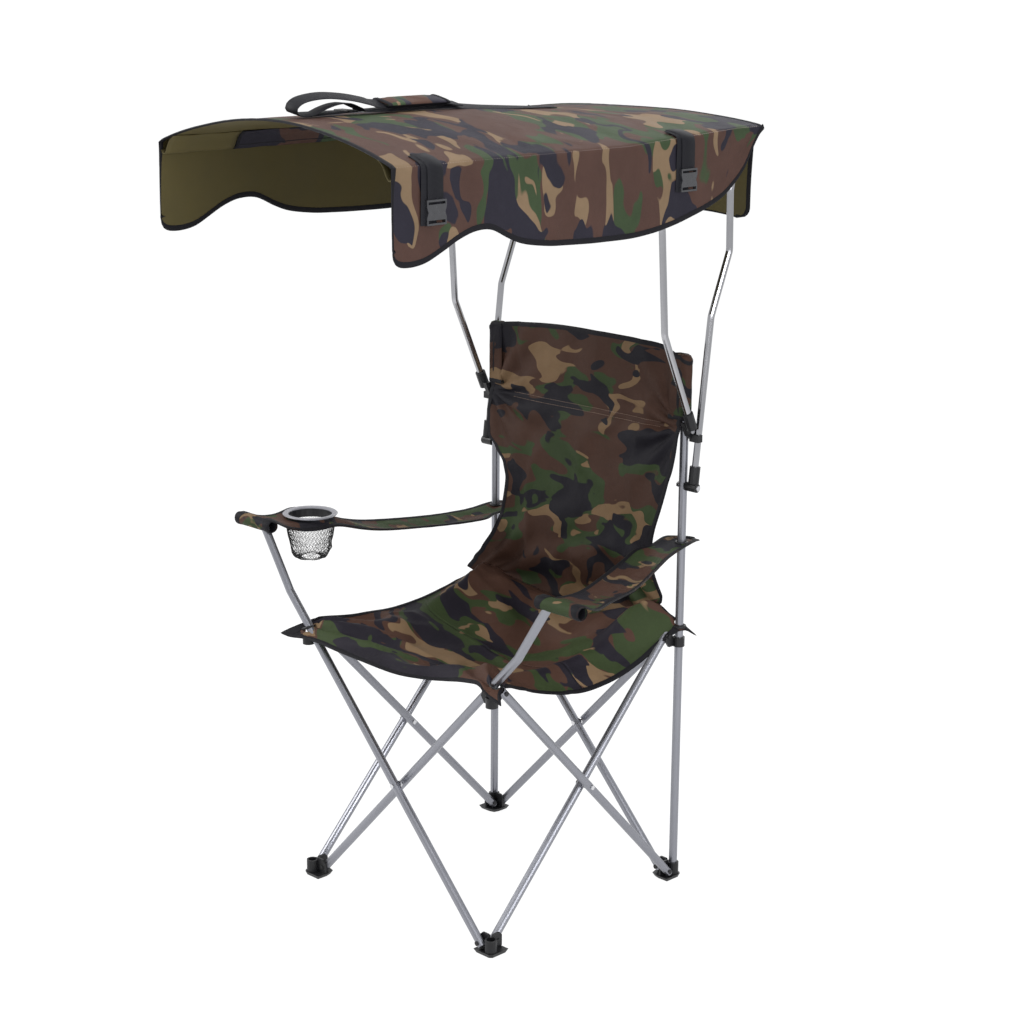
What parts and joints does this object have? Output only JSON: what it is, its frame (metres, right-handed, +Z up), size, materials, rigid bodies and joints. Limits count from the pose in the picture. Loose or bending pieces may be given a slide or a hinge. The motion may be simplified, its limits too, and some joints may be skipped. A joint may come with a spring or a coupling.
{
  "type": "folding camping chair",
  "caption": "Folding camping chair with crossed steel tubes, slung cloth seat and back, cloth arms with a cup holder, and a canopy on swinging bent rods",
  "frame": {"origin": "on the floor, under the middle of the chair's overall box", "axes": "+Z up, -Y the front that the sitter faces, +X the sitter's left"},
  "size_m": [0.89, 0.907, 1.5265],
  "materials": {
    "frame_steel": "satin silver-grey powder coat",
    "rod_chrome": "bright plated",
    "fastener": "zinc plated",
    "black_moulding": "matte black, moulded",
    "grey_moulding": "light grey, moulded",
    "camouflage_cloth": "coated woven polyester, woodland camouflage print",
    "pale_camouflage_cloth": "light woven polyester, woodland camouflage print",
    "black_net": "black mesh net",
    "black_webbing": "black ribbed webbing"
  },
  "bodies": {
    "rear_left_upright": {"rear_left_foot": "black_moulding", "left_post": "frame_steel", "left_upper_bolt": "fastener", "left_lower_bolt": "fastener", "back": "camouflage_cloth"},
    "rear_right_upright": {"rear_right_foot": "black_moulding", "right_post": "frame_steel", "right_upper_bolt": "fastener", "right_lower_bolt": "fastener"},
    "rear_inner": {"rear_inner_tube": "frame_steel", "rear_cross_rivet": "fastener"},
    "rear_outer": {"rear_outer_tube": "frame_steel"},
    "left_outer": {"left_outer_tube": "frame_steel", "left_cross_rivet": "fastener"},
    "left_inner": {"left_inner_tube": "frame_steel"},
    "front_outer": {"front_outer_tube": "frame_steel", "front_cross_rivet": "fastener"},
    "front_inner": {"front_inner_tube": "frame_steel"},
    "right_inner": {"right_inner_tube": "frame_steel", "right_cross_rivet": "fastener"},
    "right_outer": {"right_outer_tube": "frame_steel"},
    "rear_left_hub": {"rear_left_hub": "black_moulding"},
    "rear_right_hub": {"rear_right_hub": "black_moulding"},
    "front_left_hub": {"front_left_hub": "black_moulding"},
    "front_right_hub": {"front_right_hub": "black_moulding"},
    "front_left_foot": {"front_left_foot": "black_moulding"},
    "front_right_foot": {"front_right_foot": "black_moulding"},
    "seat_rear": {"seat_rear": "camouflage_cloth"},
    "seat_front": {"seat_front": "camouflage_cloth"},
    "left_arm": {"left_arm": "camouflage_cloth"},
    "right_arm": {"right_arm": "camouflage_cloth", "cup_ring": "grey_moulding", "cup_net": "black_net"},
    "left_front_rod": {"left_front_rod": "rod_chrome", "left_elbow": "black_moulding", "left_front_fitting": "black_moulding"},
    "left_rear_rod": {"left_rear_rod": "rod_chrome", "left_rod_cap": "black_moulding", "left_rear_fitting": "black_moulding"},
    "left_rail": {"left_rail": "rod_chrome", "canopy": "pale_camouflage_cloth", "left_front_strap": "black_webbing", "left_rear_strap": "black_webbing", "left_front_buckle": "black_moulding", "left_rear_buckle": "black_moulding", "shoulder_strap": "black_webbing", "strap_pad": "camouflage_cloth", "strap_slider": "black_moulding"},
    "right_front_rod": {"right_front_rod": "rod_chrome", "right_elbow": "black_moulding", "right_front_fitting": "black_moulding"},
    "right_rear_rod": {"right_rear_rod": "rod_chrome", "right_rod_cap": "black_moulding", "right_rear_fitting": "black_moulding"},
    "right_rail": {"right_rail": "rod_chrome", "right_front_strap": "black_webbing", "right_rear_strap": "black_webbing", "right_front_buckle": "black_moulding", "right_rear_buckle": "black_moulding"}
  },
  "joints": [
    {"name": "frame_fold", "type": "hinge", "parent": "rear_left_upright", "child": "rear_inner", "pos_m": [0.2255, 0.2987, 0.02], "axis": [0, 1, 0], "range_deg": [0, 37.5], "deforming": ["seat_rear", "seat_front", "back", "left_arm", "right_arm", "canopy", "shoulder_strap", "strap_pad"]},
    {"name": "rear_cross_turn", "type": "hinge", "parent": "rear_inner", "child": "rear_outer", "pos_m": [0, 0.315, 0.2575], "axis": [0, 1, 0], "range_deg": [-75, 0]},
    {"name": "rear_left_hub_turn", "type": "hinge", "parent": "rear_outer", "child": "rear_left_hub", "pos_m": [0.2255, 0.3195, 0.495], "axis": [0, 1, 0], "range_deg": [0, 37.5]},
    {"name": "rear_right_upright_turn", "type": "hinge", "parent": "rear_outer", "child": "rear_right_upright", "pos_m": [-0.2255, 0.3195, 0.02], "axis": [0, 1, 0], "range_deg": [0, 37.5]},
    {"name": "rear_right_hub_turn", "type": "hinge", "parent": "rear_inner", "child": "rear_right_hub", "pos_m": [-0.2255, 0.2987, 0.495], "axis": [0, 1, 0], "range_deg": [-37.5, 0]},
    {"name": "left_fold", "type": "hinge", "parent": "rear_left_upright", "child": "left_outer", "pos_m": [0.253, 0.292, 0.02], "axis": [1, 0, 0], "range_deg": [-37.5, 0]},
    {"name": "left_cross_turn", "type": "hinge", "parent": "left_outer", "child": "left_inner", "pos_m": [0.2485, 0.0665, 0.2575], "axis": [1, 0, 0], "range_deg": [0, 75]},
    {"name": "front_left_foot_turn", "type": "hinge", "parent": "left_inner", "child": "front_left_foot", "pos_m": [0.2322, -0.159, 0.02], "axis": [1, 0, 0], "range_deg": [-37.5, 0]},
    {"name": "front_left_hub_turn", "type": "hinge", "parent": "left_outer", "child": "front_left_hub", "pos_m": [0.253, -0.159, 0.495], "axis": [1, 0, 0], "range_deg": [0, 37.5]},
    {"name": "front_fold", "type": "hinge", "parent": "front_left_foot", "child": "front_outer", "pos_m": [0.2255, -0.1865, 0.02], "axis": [0, 1, 0], "range_deg": [0, 37.5]},
    {"name": "front_cross_turn", "type": "hinge", "parent": "front_outer", "child": "front_inner", "pos_m": [0, -0.182, 0.2575], "axis": [0, 1, 0], "range_deg": [-75, 0]},
    {"name": "front_right_hub_turn", "type": "hinge", "parent": "front_outer", "child": "front_right_hub", "pos_m": [-0.2255, -0.1865, 0.495], "axis": [0, 1, 0], "range_deg": [-37.5, 0]},
    {"name": "right_fold", "type": "hinge", "parent": "rear_right_upright", "child": "right_inner", "pos_m": [-0.2322, 0.292, 0.02], "axis": [1, 0, 0], "range_deg": [-37.5, 0]},
    {"name": "right_cross_turn", "type": "hinge", "parent": "right_inner", "child": "right_outer", "pos_m": [-0.2485, 0.0665, 0.2575], "axis": [1, 0, 0], "range_deg": [0, 75]},
    {"name": "front_right_foot_turn", "type": "hinge", "parent": "right_outer", "child": "front_right_foot", "pos_m": [-0.253, -0.159, 0.02], "axis": [1, 0, 0], "range_deg": [-37.5, 0]},
    {"name": "seat_rear_drop", "type": "hinge", "parent": "rear_left_hub", "child": "seat_rear", "pos_m": [0.2485, 0.315, 0.513], "axis": [1, 0, 0], "range_deg": [0, 61.25]},
    {"name": "seat_front_drop", "type": "hinge", "parent": "seat_rear", "child": "seat_front", "pos_m": [0, 0.0665, 0.442], "axis": [1, 0, 0], "range_deg": [-122.49, 0]},
    {"name": "left_arm_turn", "type": "hinge", "parent": "front_inner", "child": "left_arm", "pos_m": [0.3705, -0.1657, 0.684], "axis": [-0.8737, -0.2154, 0.4361], "range_deg": [0, 59.57]},
    {"name": "right_arm_turn", "type": "hinge", "parent": "front_outer", "child": "right_arm", "pos_m": [-0.3705, -0.1865, 0.684], "axis": [-0.8741, 0.1885, -0.4477], "range_deg": [0, 55.49]},
    {"name": "canopy_swing", "type": "hinge", "parent": "rear_left_upright", "child": "left_front_rod", "pos_m": [0.273, 0.315, 0.893], "axis": [-1, 0, 0], "range_deg": [0, 168]},
    {"name": "left_rear_rod_swing", "type": "hinge", "parent": "rear_left_upright", "child": "left_rear_rod", "pos_m": [0.273, 0.315, 0.787], "axis": [-1, 0, 0], "range_deg": [0, 151.18]},
    {"name": "left_rail_turn", "type": "hinge", "parent": "left_front_rod", "child": "left_rail", "pos_m": [0.273, 0.1945, 1.418], "axis": [-1, 0, 0], "range_deg": [-76.06, 0]},
    {"name": "right_front_rod_swing", "type": "hinge", "parent": "rear_right_upright", "child": "right_front_rod", "pos_m": [-0.273, 0.315, 0.893], "axis": [-1, 0, 0], "range_deg": [0, 168]},
    {"name": "right_rear_rod_swing", "type": "hinge", "parent": "rear_right_upright", "child": "right_rear_rod", "pos_m": [-0.273, 0.315, 0.787], "axis": [-1, 0, 0], "range_deg": [0, 151.18]},
    {"name": "right_rail_turn", "type": "hinge", "parent": "right_front_rod", "child": "right_rail", "pos_m": [-0.273, 0.1945, 1.418], "axis": [-1, 0, 0], "range_deg": [-76.06, 0]}
  ],
  "couplings": [
    {"joint": "rear_cross_turn", "follows": "frame_fold", "ratio": -2},
    {"joint": "rear_left_hub_turn", "follows": "frame_fold", "ratio": 1},
    {"joint": "rear_right_upright_turn", "follows": "frame_fold", "ratio": 1},
    {"joint": "rear_right_hub_turn", "follows": "frame_fold", "ratio": -1},
    {"joint": "left_fold", "follows": "frame_fold", "ratio": -1},
    {"joint": "left_cross_turn", "follows": "frame_fold", "ratio": 2},
    {"joint": "front_left_foot_turn", "follows": "frame_fold", "ratio": -1},
    {"joint": "front_left_hub_turn", "follows": "frame_fold", "ratio": 1},
    {"joint": "front_fold", "follows": "frame_fold", "ratio": 1},
    {"joint": "front_cross_turn", "follows": "frame_fold", "ratio": -2},
    {"joint": "front_right_hub_turn", "follows": "frame_fold", "ratio": -1},
    {"joint": "right_fold", "follows": "frame_fold", "ratio": -1},
    {"joint": "right_cross_turn", "follows": "frame_fold", "ratio": 2},
    {"joint": "front_right_foot_turn", "follows": "frame_fold", "ratio": -1},
    {"joint": "seat_rear_drop", "follows": "frame_fold", "ratio": 1.6331},
    {"joint": "seat_front_drop", "follows": "frame_fold", "ratio": -3.2662},
    {"joint": "left_arm_turn", "follows": "frame_fold", "ratio": 1.5885},
    {"joint": "right_arm_turn", "follows": "frame_fold", "ratio": 1.4796},
    {"joint": "left_rear_rod_swing", "follows": "canopy_swing", "ratio": 0.89986},
    {"joint": "left_rail_turn", "follows": "canopy_swing", "ratio": -0.45273},
    {"joint": "right_front_rod_swing", "follows": "canopy_swing", "ratio": 1},
    {"joint": "right_rear_rod_swing", "follows": "canopy_swing", "ratio": 0.89986},
    {"joint": "right_rail_turn", "follows": "canopy_swing", "ratio": -0.45273}
  ]
}
